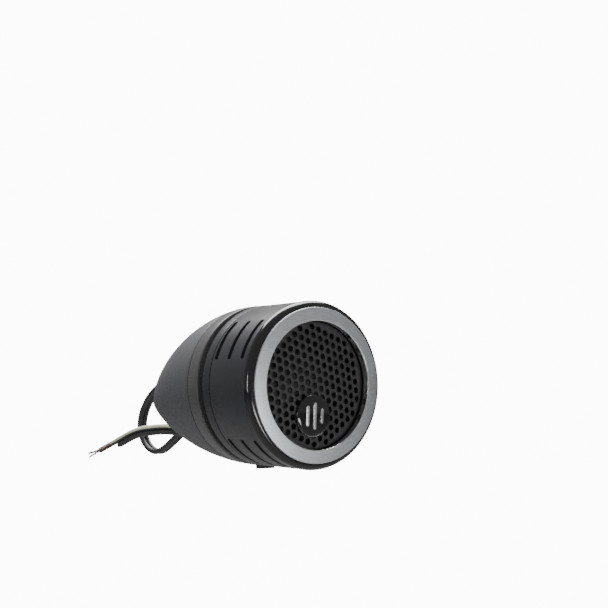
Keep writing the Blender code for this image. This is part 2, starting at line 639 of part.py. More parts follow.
def make_leads(axis, tilt, looks):
    """The inner lead in two lengths that meet where the axes cross, and the free cord."""
    into_axis = axis.matrix_world.inverted()
    inlet = CABLE_EXIT - Vector((0, 5.5 * MM, 0))
    bend = inlet - Vector((0, 4 * MM, 0))
    meeting = Vector((0, 0, PIVOT_Z))
    a, b = into_axis @ inlet, into_axis @ bend
    c, d = Vector((0, 0, -14 * MM)), meeting - Vector((0, 0, 0.4 * MM))
    route = [a * (1 - t) ** 3 + b * 3 * t * (1 - t) ** 2 + c * 3 * t * t * (1 - t) + d * t**3
             for t in (k / 12 for k in range(13))]
    tube("pod_lead", route, LEAD_RADIUS, looks["rubber"], axis)
    reach = MOTOR_REAR - 2.0 * MM
    climb = [(0, 0, PIVOT_Z + (reach - PIVOT_Z) * k / 5) for k in range(6)]
    tube("capsule_lead", climb, LEAD_RADIUS, looks["rubber"], tilt)
    tube("cord", smooth_route(CORD_ROUTE, CORD_POINTS), CORD_RADIUS, looks["cord black"])
    end, before = Vector(CORD_ROUTE[-1]) * MM, Vector(CORD_ROUTE[-2]) * MM
    ahead = (end - before).normalized()
    for name, tip, side in (("lead_tip_plus", TIP_ENDS[0], 1), ("lead_tip_minus", TIP_ENDS[1], -1)):
        start = end + ahead * TIP_GAP + Vector((0, 0, side * 0.75 * MM))
        place(name, rod(start, Vector(tip) * MM, 0.45 * MM, 12, 0.3 * MM), looks["tinned"])


def main():
    start_empty()
    looks = {
        "satin black": finish("satin_black_plastic", (0.035, 0.036, 0.04), 0.45),
        "gloss black": finish("gloss_black_plastic", (0.008, 0.008, 0.009), 0.12),
        "rim grey": finish("rim_grey_plastic", (0.085, 0.085, 0.088), 0.38),
        "pod grey": finish("pod_grey_plastic", (0.06, 0.061, 0.065), 0.55),
        "black": finish("inner_black_plastic", (0.012, 0.012, 0.013), 0.6),
        "aluminium": finish("brushed_aluminium", (0.62, 0.64, 0.66), 0.32, 1.0),
        "grille black": finish("grille_black_steel", (0.02, 0.02, 0.022), 0.4, 0.3),
        "silver": finish("silver_mark", (0.75, 0.76, 0.78), 0.25, 1.0),
        "acetal": finish("black_acetal", (0.02, 0.02, 0.021), 0.45),
        "rubber": finish("black_rubber", (0.02, 0.02, 0.02), 0.75),
        "foam": finish("adhesive_foam", (0.03, 0.03, 0.03), 0.9),
        "steel": finish("zinc_plated_steel", (0.55, 0.56, 0.58), 0.35, 1.0),
        "zinc": finish("plated_motor_steel", (0.45, 0.46, 0.48), 0.4, 1.0),
        "nickel": finish("nickel_plated_magnet", (0.6, 0.59, 0.56), 0.25, 1.0),
        "felt": finish("grey_felt", (0.2, 0.2, 0.2), 0.95),
        "silk": finish("coated_silk", (0.03, 0.03, 0.032), 0.5),
        "kapton": finish("amber_former", (0.5, 0.2, 0.04), 0.4),
        "copper": finish("copper_wire", (0.72, 0.32, 0.18), 0.35, 1.0),
        "board": finish("terminal_board_green", (0.03, 0.12, 0.05), 0.5),
        "brass": finish("brass_lug", (0.7, 0.52, 0.22), 0.35, 1.0),
        "cord black": finish("cord_black_vinyl", (0.03, 0.03, 0.032), 0.45),
        "tinned": finish("tinned_copper", (0.6, 0.6, 0.6), 0.35, 1.0),
    }
    axis = frame_empty("pod_axis", 0)
    turn = frame_empty("turn_axis", PIVOT_Z, axis)
    tilt = frame_empty("tilt_axis", PIVOT_Z, turn)
    travel = frame_empty("dome_axis", PLATE_FRONT, tilt)
    bpy.context.view_layer.update()
    make_pod(axis, looks)
    make_swivel(turn, looks)
    make_capsule(tilt, looks)
    make_grille(tilt, looks)
    make_driver(tilt, travel, looks)
    make_leads(axis, tilt, looks)
    bpy.context.view_layer.update()


main()
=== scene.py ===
import json
from math import asin, ceil, cos, hypot, pi, radians, sin, sqrt

import bmesh
import bpy
from mathutils import Matrix, Vector
from mathutils.geometry import delaunay_2d_cdt


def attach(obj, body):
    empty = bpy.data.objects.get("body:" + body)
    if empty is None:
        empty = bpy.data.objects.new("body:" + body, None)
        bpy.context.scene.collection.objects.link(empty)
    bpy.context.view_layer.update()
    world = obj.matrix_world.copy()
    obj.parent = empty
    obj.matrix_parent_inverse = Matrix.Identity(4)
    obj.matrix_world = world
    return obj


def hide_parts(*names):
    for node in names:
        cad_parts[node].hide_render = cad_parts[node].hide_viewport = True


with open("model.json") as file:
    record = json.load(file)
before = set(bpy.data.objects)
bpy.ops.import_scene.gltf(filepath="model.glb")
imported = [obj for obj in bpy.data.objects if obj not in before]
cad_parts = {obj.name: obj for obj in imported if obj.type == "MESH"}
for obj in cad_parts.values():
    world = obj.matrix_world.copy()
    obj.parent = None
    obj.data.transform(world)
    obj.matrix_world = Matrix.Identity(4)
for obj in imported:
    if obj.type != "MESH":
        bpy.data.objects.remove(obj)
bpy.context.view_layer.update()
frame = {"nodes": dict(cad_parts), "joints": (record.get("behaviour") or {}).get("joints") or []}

# ---------------------------------------------------------------------------------------------
# Camera and studio. A pale sweep lies well below and behind the tweeter. A wide soft light hangs
# overhead, a panel stands low at the right and a narrow strip stands in front.
MM = 0.001
turn_joint = next(j for j in frame["joints"] if j["name"] == "capsule_turn")
forward = Vector(turn_joint["axis"]).normalized()
pivot_depth = 4.5 * MM  # the turn and tilt axes cross this far behind the pod's rim
rim_centre = Vector(turn_joint["pos_m"]) + forward * pivot_depth
across = Vector((0, 0, 1)).cross(forward)

# The tweeter's own axes: +Z forward from the pod's rim, +Y up and +X towards the mounting face.
tweeter_axes = Matrix((across, (0, 0, 1), forward)).transposed().to_4x4()
tweeter_axes.translation = rim_centre

front_station = 26.0 * MM  # the bezel's front, ahead of the pod's rim
camera_turn = radians(21.474)
camera_distance = 433.0 * MM
camera_aside = 3.8 * MM
camera_back = Vector((sin(camera_turn), -cos(camera_turn), 0))
camera_right = Vector((cos(camera_turn), sin(camera_turn), 0))
camera_data = bpy.data.cameras.new("camera")
camera_data.lens = 89.2
camera_data.sensor_width = 36.0
camera_data.shift_y = 0.134
camera = bpy.data.objects.new("camera", camera_data)
bpy.context.collection.objects.link(camera)
camera.location = rim_centre + forward * front_station + camera_back * camera_distance
camera.location -= camera_right * camera_aside
camera.rotation_euler = (pi / 2, 0, camera_turn)
bpy.context.scene.camera = camera


def soft_light(name, place, size, power):
    data = bpy.data.lights.new(name, "AREA")
    data.shape = "RECTANGLE"
    data.size, data.size_y = size
    data.energy = power
    lamp = bpy.data.objects.new(name, data)
    bpy.context.collection.objects.link(lamp)
    lamp.location = place
    lamp.rotation_euler = (-Vector(place)).to_track_quat("-Z", "Y").to_euler()


soft_light("overhead_softbox", (-0.1, 0.25, 0.8), (1.0, 0.6), 26)
soft_light("low_panel", (1.0, -0.45, -0.38), (0.6, 0.4), 11)
soft_light("front_strip", (-0.25, -1.2, 0.05), (0.14, 0.36), 2.6)

studio_air = bpy.data.worlds.new("studio_air")
bpy.context.scene.world = studio_air
studio_air.use_nodes = True
studio_air.node_tree.nodes["Background"].inputs["Color"].default_value = (1, 1, 1, 1)
studio_air.node_tree.nodes["Background"].inputs["Strength"].default_value = 0.32

sweep_low, sweep_high, sweep_half = -0.3, 5.0, 5.0
sweep_near, sweep_far, sweep_bend = -3.0, 3.0, 1.0
outline = [(sweep_near, sweep_low)]
for step in range(13):
    angle = pi / 2 * step / 12
    outline.append((sweep_far + sweep_bend * sin(angle), sweep_low + sweep_bend * (1 - cos(angle))))
outline.append((sweep_far + sweep_bend, sweep_high))
bm = bmesh.new()
left_edge = [bm.verts.new((-sweep_half, y, z)) for y, z in outline]
right_edge = [bm.verts.new((sweep_half, y, z)) for y, z in outline]
for step in range(len(outline) - 1):
    bm.faces.new((left_edge[step], right_edge[step], right_edge[step + 1], left_edge[step + 1]))
mesh = bpy.data.meshes.new("studio_sweep")
bm.to_mesh(mesh)
bm.free()
mesh.shade_smooth()
studio_sweep = bpy.data.objects.new("studio_sweep", mesh)
bpy.context.collection.objects.link(studio_sweep)
sweep_paper = bpy.data.materials.new("sweep_paper")
sweep_paper.use_nodes = True
paper = sweep_paper.node_tree.nodes["Principled BSDF"]
paper.inputs["Base Color"].default_value = (0.25, 0.25, 0.25, 1)
paper.inputs["Roughness"].default_value = 0.9
paper.inputs["Emission Color"].default_value = (1, 1, 1, 1)
seen_from_camera = sweep_paper.node_tree.nodes.new("ShaderNodeLightPath")
paper_glow = sweep_paper.node_tree.nodes.new("ShaderNodeMapRange")
paper_glow.inputs["To Min"].default_value = 0.02  # what the tweeter is lit by
paper_glow.inputs["To Max"].default_value = 12.0
link = sweep_paper.node_tree.links.new
link(seen_from_camera.outputs["Is Camera Ray"], paper_glow.inputs["Value"])
link(paper_glow.outputs["Result"], paper.inputs["Emission Strength"])
mesh.materials.append(sweep_paper)

# ---------------------------------------------------------------------------------------------
# Cord: two stranded conductors in one extruded dark vinyl, joined side by side, with a cream
# polarity stripe on one. It leaves the strain relief, makes one loop and ends cut and stripped.
cord_route = (
    (2, 4.6, -3), (2, 7.5, -3), (1.2, 11, -3.5), (-2.5, 14.5, -5), (-9, 16, -7.2),
    (-17, 15.3, -10.2), (-23, 14.3, -14), (-28.5, 14.3, -19), (-35, 16.5, -23), (-41, 19, -20),
    (-43.2, 20, -14), (-41.5, 19, -8), (-37, 17, -2.5), (-30.5, 14, 1.5), (-24, 11.4, 3.4),
    (-18, 9.2, 3.8), (-12, 7.6, 2.4), (-7.6, 6.6, -1), (-6, 6, -5.5), (-7.6, 5.8, -10),
    (-12, 5.6, -13.3), (-17, 5.6, -14.7), (-22, 6.2, -14.9), (-27.5, 7, -14.5),
    (-33.5, 7.5, -15), (-39.5, 8.5, -16), (-47, 10, -19.5), (-54.5, 11.5, -23),
)  # millimetres, as drawn from the strain relief to the cut end
bare_ends = ((-60.3, 12.8, -23.6), (-60.2, 13.0, -24.8))
cord_width = 3.6 * MM
half_radius = 0.93 * MM  # of each insulated conductor
half_offset = cord_width / 2 - half_radius
cord_facets = 24
stripe_half = 5  # facets on each side of the stripe's middle
flat_to_loop = across  # the cord's width lies this way in the loop
flat_to_end = Vector((0, 0, 1))  # and this way at its end
twist_starts, twist_ends = 0.55, 0.75
stripe_wander = radians(-35)
short_half_share = 0.955  # where the plain conductor is cut
cut_rounding = 0.01  # of the cord's length, over which that cut is rounded
scorch_share = 0.962


def smooth_route(points, count):
    """Evenly spaced points on a smooth curve through and beside the route's points."""
    pins = [Vector(p) * MM for p in points]
    pins = [pins[0] * 2 - pins[1]] + pins + [pins[-1] * 2 - pins[-2]]
    fine = []
    for a, b, c, d in zip(pins, pins[1:], pins[2:], pins[3:]):
        for k in range(12):
            t = k / 12
            fine.append(
                (2 * b + (c - a) * t + (2 * a - 5 * b + 4 * c - d) * t * t
                 + (3 * b - a - 3 * c + d) * t**3) / 2
            )
    fine.append(pins[-2])
    for _ in range(30):
        middle = [(a + 2 * b + c) / 4 for a, b, c in zip(fine, fine[1:], fine[2:])]
        fine = [fine[0], *middle, fine[-1]]
    along = [0.0]
    for a, b in zip(fine, fine[1:]):
        along.append(along[-1] + (b - a).length)
    spaced, at = [], 0
    for k in range(count):
        target = along[-1] * k / (count - 1)
        while at < len(fine) - 2 and along[at + 1] < target:
            at += 1
        share = (target - along[at]) / (along[at + 1] - along[at])
        spaced.append(fine[at].lerp(fine[at + 1], share))
    return spaced


def skin_rings(bm, rings, slot_of=lambda ring, side: 0):
    """Skin closed rings of points into one closed tube; slot_of gives each face's material."""
    count = len(rings[0])
    grid = [[bm.verts.new(p) for p in ring] for ring in rings]
    for n, (one, two) in enumerate(zip(grid, grid[1:])):
        for k in range(count):
            face = bm.faces.new((one[k], one[(k + 1) % count], two[(k + 1) % count], two[k]))
            face.material_index = slot_of(n, k)
    bm.faces.new(list(reversed(grid[0]))).material_index = slot_of(0, 0)
    bm.faces.new(grid[-1]).material_index = slot_of(len(rings) - 1, 0)


def add_piece(name, bm, looks, body, slot, *nodes, axes=None, sharp=radians(40)):
    """Turn a bmesh into a piece that stands for CAD nodes and rides on their body."""
    bmesh.ops.recalc_face_normals(bm, faces=bm.faces)
    mesh = bpy.data.meshes.new(name)
    bm.to_mesh(mesh)
    bm.free()
    mesh.shade_smooth()
    mesh.set_sharp_from_angle(angle=sharp)
    for look in looks:
        mesh.materials.append(look)
    piece = bpy.data.objects.new(name, mesh)
    bpy.context.collection.objects.link(piece)
    if axes is not None:
        piece.matrix_world = axes
    if nodes:
        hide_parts(*nodes)
    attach(piece, body)
    return piece


def plain_look(name, colour, roughness, metallic=0.0):
    """A material with one shader, and the nodes and links that its maker adds to."""
    look = bpy.data.materials.new(name)
    look.use_nodes = True
    tree = look.node_tree
    shader = tree.nodes["Principled BSDF"]
    shader.inputs["Base Color"].default_value = (*colour, 1)
    shader.inputs["Roughness"].default_value = roughness
    shader.inputs["Metallic"].default_value = metallic
    return look, tree, shader


def start_group(name, inputs, outputs):
    """An empty shader node group with float or colour sockets, and its two end nodes."""
    group = bpy.data.node_groups.new(name, "ShaderNodeTree")
    for label, start in inputs:
        kind = "NodeSocketColor" if isinstance(start, tuple) else "NodeSocketFloat"
        socket = group.interface.new_socket(label, in_out="INPUT", socket_type=kind)
        socket.default_value = start
    for label, kind in outputs:
        group.interface.new_socket(label, in_out="OUTPUT", socket_type=kind)
    return group, group.nodes.new("NodeGroupInput"), group.nodes.new("NodeGroupOutput")


# Moulded grain: the fine texture of a moulded or extruded plastic, with a slow change of shade.
grain_group, entry, exit_ = start_group(
    "moulded_grain",
    [("Colour", (0.1, 0.1, 0.1, 1)), ("Worn colour", (0.15, 0.15, 0.15, 1)),
     ("Grain scale", 3000.0), ("Mottle scale", 90.0),
     ("Smoothest", 0.4), ("Roughest", 0.55)],
    [("Colour", "NodeSocketColor"), ("Roughness", "NodeSocketFloat"), ("Height", "NodeSocketFloat")],
)
where = grain_group.nodes.new("ShaderNodeTexCoord")
mottle = grain_group.nodes.new("ShaderNodeTexNoise")
mottle.inputs["Detail"].default_value = 4
speckle = grain_group.nodes.new("ShaderNodeTexNoise")
speckle.inputs["Detail"].default_value = 2
shade = grain_group.nodes.new("ShaderNodeMix")
shade.data_type = "RGBA"
polish = grain_group.nodes.new("ShaderNodeMapRange")
polish.inputs["From Min"].default_value = 0.3
polish.inputs["From Max"].default_value = 0.7
spread = grain_group.nodes.new("ShaderNodeMapRange")
spread.inputs["From Min"].default_value = 0.35
spread.inputs["From Max"].default_value = 0.75
link = grain_group.links.new
link(where.outputs["Object"], mottle.inputs["Vector"])
link(where.outputs["Object"], speckle.inputs["Vector"])
link(entry.outputs["Mottle scale"], mottle.inputs["Scale"])
link(entry.outputs["Grain scale"], speckle.inputs["Scale"])
link(mottle.outputs["Fac"], spread.inputs["Value"])
link(spread.outputs["Result"], shade.inputs["Factor"])
link(entry.outputs["Colour"], shade.inputs["A"])
link(entry.outputs["Worn colour"], shade.inputs["B"])
link(mottle.outputs["Fac"], polish.inputs["Value"])
link(entry.outputs["Smoothest"], polish.inputs["To Min"])
link(entry.outputs["Roughest"], polish.inputs["To Max"])
link(shade.outputs["Result"], exit_.inputs["Colour"])
link(polish.outputs["Result"], exit_.inputs["Roughness"])
link(speckle.outputs["Fac"], exit_.inputs["Height"])


def moulded_look(name, colour, worn, grain, mottle, smooth, rough, relief, metallic=0.0):
    """A moulded finish: its two shades, grain and mottle scales, roughness range and relief."""
    look, tree, shader = plain_look(name, colour, (smooth + rough) / 2, metallic)
    finish = tree.nodes.new("ShaderNodeGroup")
    finish.node_tree = grain_group
    for label, value in (("Colour", (*colour, 1)), ("Worn colour", (*worn, 1)),
                         ("Grain scale", grain), ("Mottle scale", mottle),
                         ("Smoothest", smooth), ("Roughest", rough)):
        finish.inputs[label].default_value = value
    bump = tree.nodes.new("ShaderNodeBump")
    bump.inputs["Strength"].default_value = 0.6
    bump.inputs["Distance"].default_value = relief
    tree.links.new(finish.outputs["Colour"], shader.inputs["Base Color"])
    tree.links.new(finish.outputs["Roughness"], shader.inputs["Roughness"])
    tree.links.new(finish.outputs["Height"], bump.inputs["Height"])
    tree.links.new(bump.outputs["Normal"], shader.inputs["Normal"])
    return look, tree, shader


dark_vinyl, _, _ = moulded_look(
    "dark_vinyl", (0.035, 0.035, 0.037), (0.05, 0.05, 0.052), 900, 150, 0.34, 0.46, 0.02 * MM
)
cream_stripe, _, _ = moulded_look(
    "cream_stripe", (0.74, 0.74, 0.6), (0.62, 0.62, 0.48), 900, 300, 0.4, 0.5, 0.02 * MM
)
scorched_stripe, _, _ = moulded_look(
    "scorched_stripe", (0.26, 0.13, 0.07), (0.6, 0.52, 0.34), 1400, 900, 0.5, 0.7, 0.05 * MM
)

cord_line = smooth_route(cord_route, 300)
striped_rings, plain_rings = [], []
for n, point in enumerate(cord_line):
    share = n / (len(cord_line) - 1)
    ahead = (cord_line[min(n + 1, len(cord_line) - 1)] - cord_line[max(n - 1, 0)]).normalized()
    turn = min(max((share - twist_starts) / (twist_ends - twist_starts), 0), 1)
    turn = turn * turn * (3 - 2 * turn)
    width_way = flat_to_loop.lerp(flat_to_end, turn)
    width_way = (width_way - ahead * width_way.dot(ahead)).normalized()
    thin_way = ahead.cross(width_way)
    for rings, side, start in ((striped_rings, 1, stripe_wander * turn), (plain_rings, -1, 0)):
        middle = point + width_way * side * half_offset
        radius = half_radius
        left = short_half_share - share
        if side < 0 and left < cut_rounding:
            if left < 0:
                continue
            radius *= sqrt(max(1 - (1 - left / cut_rounding) ** 2, 0.02))
        ring = []
        for k in range(cord_facets):
            angle = start + 2 * pi * (k + 0.5) / cord_facets
            ring.append(middle + (width_way * cos(angle) + thin_way * sin(angle)) * radius)
        rings.append(ring)


def stripe_slot(ring, side):
    if side >= stripe_half and side < cord_facets - stripe_half:
        return 0
    return 2 if ring / len(cord_line) > scorch_share else 1


bm = bmesh.new()
skin_rings(bm, striped_rings, stripe_slot)
skin_rings(bm, plain_rings)
cord = add_piece(
    "twin_cord", bm, (dark_vinyl, cream_stripe, scorched_stripe), "pod", "cord_vinyl", "cord"
)

# Bare ends: the last of the fine tinned wires, cut short and splayed into two wisps.
tinned_wire, _, _ = moulded_look(
    "tinned_wire", (0.3, 0.31, 0.32), (0.5, 0.5, 0.5), 4000, 900, 0.3, 0.5, 0.01 * MM, 1.0
)
wire_radius = 0.15 * MM
wire_facets = 8
strand_count = 5
strand_steps = 24
strand_turns = 1.6
strand_stagger = 0.22 * MM  # how much shorter each strand is than the one before
buried_length = 1.2 * MM  # of the strands, inside the insulation
root = cord_line[-1] + Vector((0, 0, 1)) * half_offset
inward = (cord_line[-2] - cord_line[-1]).normalized() * buried_length
for name, node, tip in (("bare_wires_plus", "lead_tip_plus", bare_ends[0]),
                        ("bare_wires_minus", "lead_tip_minus", bare_ends[1])):
    tip = Vector(tip) * MM
    bm = bmesh.new()
    for strand in range(strand_count):
        rings = []
        for n in range(strand_steps + 1):
            share = n / strand_steps
            point = (root + inward).lerp(tip, share)
            spin = 2 * pi * (strand / strand_count + share * strand_turns)
            room = wire_radius * (1.25 + 0.5 * share)
            if strand == 0:
                room = 0
            point = point + Vector((0, cos(spin), sin(spin))) * room
            point = point + inward.normalized() * share * strand * strand_stagger
            rings.append([
                point + Vector((0, cos(a), sin(a))) * wire_radius
                for a in (2 * pi * k / wire_facets for k in range(wire_facets))
            ])
        skin_rings(bm, rings)
    add_piece(name, bm, (tinned_wire,), "pod", "tinned", node)

# ---------------------------------------------------------------------------------------------
# Strain relief: a moulded rubber grommet gripped by the base plate's hole. Its sleeve narrows
# to the cord and is cut by shallow rings so that it bends with it.
cable_exit = Vector((2.0, 0.0, -3.0)) * MM
relief_end = 4.3 * MM
exit_axes = Matrix.Translation(cable_exit) @ Matrix.Rotation(-pi / 2, 4, "X")


def rounded(profile, steps=4):
    """A closed (radius, z, fillet) profile with each corner rounded by its fillet."""
    points = []
    for n, (radius, z, fillet) in enumerate(profile):
        corner = Vector((radius, z))
        if not fillet:
            points.append(corner)
            continue
        before = Vector(profile[n - 1][:2]) - corner
        after = Vector(profile[(n + 1) % len(profile)][:2]) - corner
        fillet = min(fillet, before.length * 0.48, after.length * 0.48)
        a, b = corner + before.normalized() * fillet, corner + after.normalized() * fillet
        for k in range(steps + 1):
            t = k / steps
            points.append(a * (1 - t) ** 2 + corner * 2 * t * (1 - t) + b * t * t)
    return points


def revolve(profile, facets=144):
    """A bmesh turned about Z from a closed loop of (radius, z) points; radius 0 is on the axis."""
    bm = bmesh.new()
    rings = []
    for radius, z in profile:
        if radius < 1e-7:
            rings.append([bm.verts.new((0, 0, z))] * facets)
            continue
        turns = (2 * pi * k / facets for k in range(facets))
        rings.append([bm.verts.new((radius * cos(a), radius * sin(a), z)) for a in turns])
    for one, two in zip(rings, rings[1:] + rings[:1]):
        for k in range(facets):
            n = (k + 1) % facets
            corners = list(dict.fromkeys((one[k], one[n], two[n], two[k])))
            if len(corners) > 2:
                bm.faces.new(corners)
    return bm


def in_mm(profile):
    return [tuple(value * MM for value in corner) for corner in profile]


black_rubber, _, _ = moulded_look(
    "black_rubber", (0.018, 0.018, 0.019), (0.03, 0.03, 0.03), 2500, 200, 0.6, 0.8, 0.02 * MM
)
sleeve_rings = []
for step in range(4):
    z = 1.3 + step * 0.72
    wall = 2.62 - step * 0.1
    sleeve_rings += [(wall, z, 0.08), (wall - 0.28, z + 0.06, 0.06), (wall - 0.28, z + 0.3, 0.06),
                     (wall - 0.06, z + 0.36, 0.08)]
relief_profile = [(0, -5.2, 0), (2.2, -5.2, 0.3), (4.3, -4.9, 0.3), (4.3, -3.5, 0.2),
                  (2.7, -3.5, 0.1), (2.7, 0.9, 0.2), *sleeve_rings,
                  (2.2, relief_end / MM, 0.3), (0, relief_end / MM, 0)]
add_piece("strain_relief_boot", revolve(rounded(in_mm(relief_profile)), 72), (black_rubber,),
          "pod", "rubber", "strain_relief", axes=exit_axes)

# ---------------------------------------------------------------------------------------------
# Pod shell: a bullet-shaped cup in dark grey moulded plastic with a fine spark texture, drooping
# a little to its tip and cut off flat along the seat, where the base plate closes it.
rim_radius = 24.0 * MM
rim_depth = 5.2 * MM
pod_length = 60.0 * MM  # from the rim to the tip, before the seat is cut
pod_fullness = 1.8
pod_droop = 6.2 * MM
pod_wall = 1.6 * MM
fit = 0.3 * MM
pad_thickness = 1.0 * MM
shell_facets = 160
seat_recess = 0.2 * MM  # from the pad to the shell's cut edge


def pod_radius(along):
    """The pod's outer radius at a distance behind the rim."""
    return rim_radius * (1 - (max(along, 0) / pod_length) ** pod_fullness)


def pod_rings(inset, start, stations):
    """Rings on the pod's surface, or inside it, from start to just short of the tip."""
    reach = pod_length * (1 - inset / rim_radius) ** (1 / pod_fullness)
    rings = []
    for n in range(stations):
        share = sin(pi / 2 * n / stations)
        along = start + (reach - start) * share
        radius = pod_radius(along) - inset
        sag = pod_droop * (along / pod_length) ** 2
        turns = (2 * pi * k / shell_facets for k in range(shell_facets))
        rings.append([Vector((radius * cos(a), radius * sin(a) - sag, -along)) for a in turns])
    return rings


grey_texture, _, _ = moulded_look(
    "grey_texture", (0.085, 0.087, 0.093), (0.105, 0.106, 0.113), 1900, 60, 0.5, 0.62, 0.035 * MM
)
shell_front = rim_depth + fit
soft_edge = 0.25 * MM
outer = pod_rings(0, shell_front + soft_edge, 56)
inner = pod_rings(pod_wall, shell_front, 40)
edge_one = [Vector((p.x * 0.9965, p.y * 0.9965, -shell_front - soft_edge * 0.3)) for p in outer[0]]
edge_two = [Vector((p.x * 0.9885, p.y * 0.9885, -shell_front)) for p in outer[0]]
bm = bmesh.new()
skin_rings(bm, list(reversed(inner)) + [edge_two, edge_one] + outer)
bmesh.ops.recalc_face_normals(bm, faces=bm.faces)
bm.transform(tweeter_axes)
seat_plane = -(pad_thickness + seat_recess)
bmesh.ops.bisect_plane(
    bm, geom=bm.verts[:] + bm.edges[:] + bm.faces[:], plane_co=(0, seat_plane, 0),
    plane_no=(0, 1, 0), clear_outer=True,
)
open_edges = [edge for edge in bm.edges if edge.is_boundary]
bmesh.ops.bridge_loops(bm, edges=open_edges)
bm.transform(tweeter_axes.inverted())
add_piece("bullet_shell", bm, (grey_texture,), "pod", "pod_grey", "pod_shell",
          axes=tweeter_axes)

# ---------------------------------------------------------------------------------------------
# Mounting pad and base plate: a closed-cell adhesive foam pad over a moulded black plate that
# drops inside the shell's edge and is held by two countersunk screws.
pad_inset = 0.5 * MM
cable_hole = 3.0 * MM
slab_reach = 12.0 * MM  # a typical half width, which turns a softened edge into a share


def seat_outline(height, inset, points=48):
    """The pod's cross-section by the plane y = height, drawn in by inset, as (x, z) points."""

    def section(x):
        away = Vector((x, height, 0)) - rim_centre
        along = -away.dot(forward)
        room = pod_radius(along) - inset
        aside = away.dot(across)
        return room * abs(room) - aside**2, pod_droop * (max(along, 0) / pod_length) ** 2

    ends = []
    for far in (-rim_radius * 2, rim_radius * 2):
        near = 0.0
        for _ in range(40):
            middle = (near + far) / 2
            near, far = (middle, far) if section(middle)[0] > 0 else (near, middle)
        ends.append(near)
    upper, lower = [], []
    for k in range(points + 1):
        x = ends[0] + (ends[1] - ends[0]) * (1 - cos(pi * k / points)) / 2
        room, sag = section(x)
        half = sqrt(max(room, 0))
        upper.append(Vector((x, half - sag)))
        lower.append(Vector((x, -half - sag)))
    return upper + lower[-2:0:-1]


def pierced_slab(outline, low, high, hole, hole_radius, soften):
    """A slab between y = low and y = high with one round hole, its edges drawn in by soften."""
    middle = sum(outline, Vector((0, 0))) / len(outline)
    count = len(outline)
    hole = Vector(hole)
    rim = [hole + (p - hole).normalized() * hole_radius for p in outline]

    def loop(points, y, share):
        return [Vector((c.x, y, c.y)) for c in (middle + (p - middle) * share for p in points)]

    drawn = 1 - soften / slab_reach
    around = [loop(outline, low, 1), loop(outline, high - soften, 1), loop(outline, high, drawn),
              [Vector((p.x, high, p.y)) for p in rim], [Vector((p.x, low, p.y)) for p in rim]]
    bm = bmesh.new()
    grid = [[bm.verts.new(p) for p in ring] for ring in around]
    for one, two in zip(grid, grid[1:] + grid[:1]):
        for k in range(count):
            bm.faces.new((one[k], one[(k + 1) % count], two[(k + 1) % count], two[k]))
    return bm


pad_foam, _, _ = moulded_look(
    "pad_foam", (0.03, 0.03, 0.031), (0.042, 0.042, 0.043), 2200, 300, 0.85, 0.95, 0.12 * MM
)
cable_hole_at = (cable_exit.x, cable_exit.z)
# The pad keeps to the narrower of its two faces' outlines.
pad_outline = seat_outline(0, pad_inset)
add_piece(
    "foam_pad", pierced_slab(pad_outline, -pad_thickness, 0, cable_hole_at, cable_hole, 0.12 * MM),
    (pad_foam,), "pod", "foam", "mounting_pad",
)

plain_black, _, _ = moulded_look(
    "plain_black", (0.012, 0.012, 0.013), (0.02, 0.02, 0.021), 1500, 120, 0.5, 0.65, 0.02 * MM
)
zinc_plate, _, _ = moulded_look(
    "zinc_plate", (0.5, 0.51, 0.53), (0.62, 0.6, 0.55), 2500, 500, 0.25, 0.42, 0.01 * MM, 1.0
)


def dress(look, *names):
    """Give CAD nodes whose shape is right a finish."""
    for name in names:
        node = frame["nodes"][name]
        for slot in node.material_slots:
            slot.material = look
        if not node.material_slots:
            node.data.materials.append(look)


dress(plain_black, "base_plate", "retaining_ring")
dress(zinc_plate, "base_screw_1", "base_screw_2")

# ---------------------------------------------------------------------------------------------
# Pod rim: a turned-looking ring in satin grey plastic that plugs into the shell, with a fine
# shadow line behind it. The swivel turns in its bore.
swivel_radius = 20.4 * MM
neck_radius = 15.6 * MM
spigot_depth = 9.0 * MM
spigot = pod_radius(spigot_depth) - pod_wall - fit
bore = swivel_radius + fit
rim_lip = neck_radius + 3.4 * MM
lip_depth = 1.7 * MM
satin_grey, _, _ = moulded_look(
    "satin_grey", (0.085, 0.085, 0.088), (0.1, 0.1, 0.103), 1600, 80, 0.34, 0.42, 0.015 * MM
)
rim_shoulder = 0.55 * MM
add_piece("rim_ring", revolve(rounded([
    (rim_lip, 0, 0.2 * MM), (rim_radius, 0, rim_shoulder),
    (pod_radius(1.2 * MM), -1.2 * MM, 0), (pod_radius(3 * MM), -3 * MM, 0),
    (pod_radius(rim_depth), -rim_depth, 0.25 * MM), (spigot, -rim_depth, 0.1 * MM),
    (spigot, -spigot_depth, 0.3 * MM), (bore, -spigot_depth, 0.2 * MM), (bore, -lip_depth, 0.1 * MM),
    (rim_lip, -lip_depth, 0.1 * MM),
])), (satin_grey,), "pod", "rim_grey", "pod_rim", axes=tweeter_axes)

# ---------------------------------------------------------------------------------------------
# Swivel: a black acetal ring that turns in the rim against a rubber friction ring. Two steel
# pins carry the capsule's neck, and a lug beside the lower pin shows which way it tilts.
black_acetal, _, _ = moulded_look(
    "black_acetal", (0.02, 0.02, 0.021), (0.03, 0.03, 0.03), 1200, 100, 0.35, 0.5, 0.015 * MM
)
dress(black_acetal, "swivel_ring")
dress(black_rubber, "friction_ring")
dress(zinc_plate, "pivot_pin_upper", "pivot_pin_lower")
dress(plain_black, "pivot_lug")

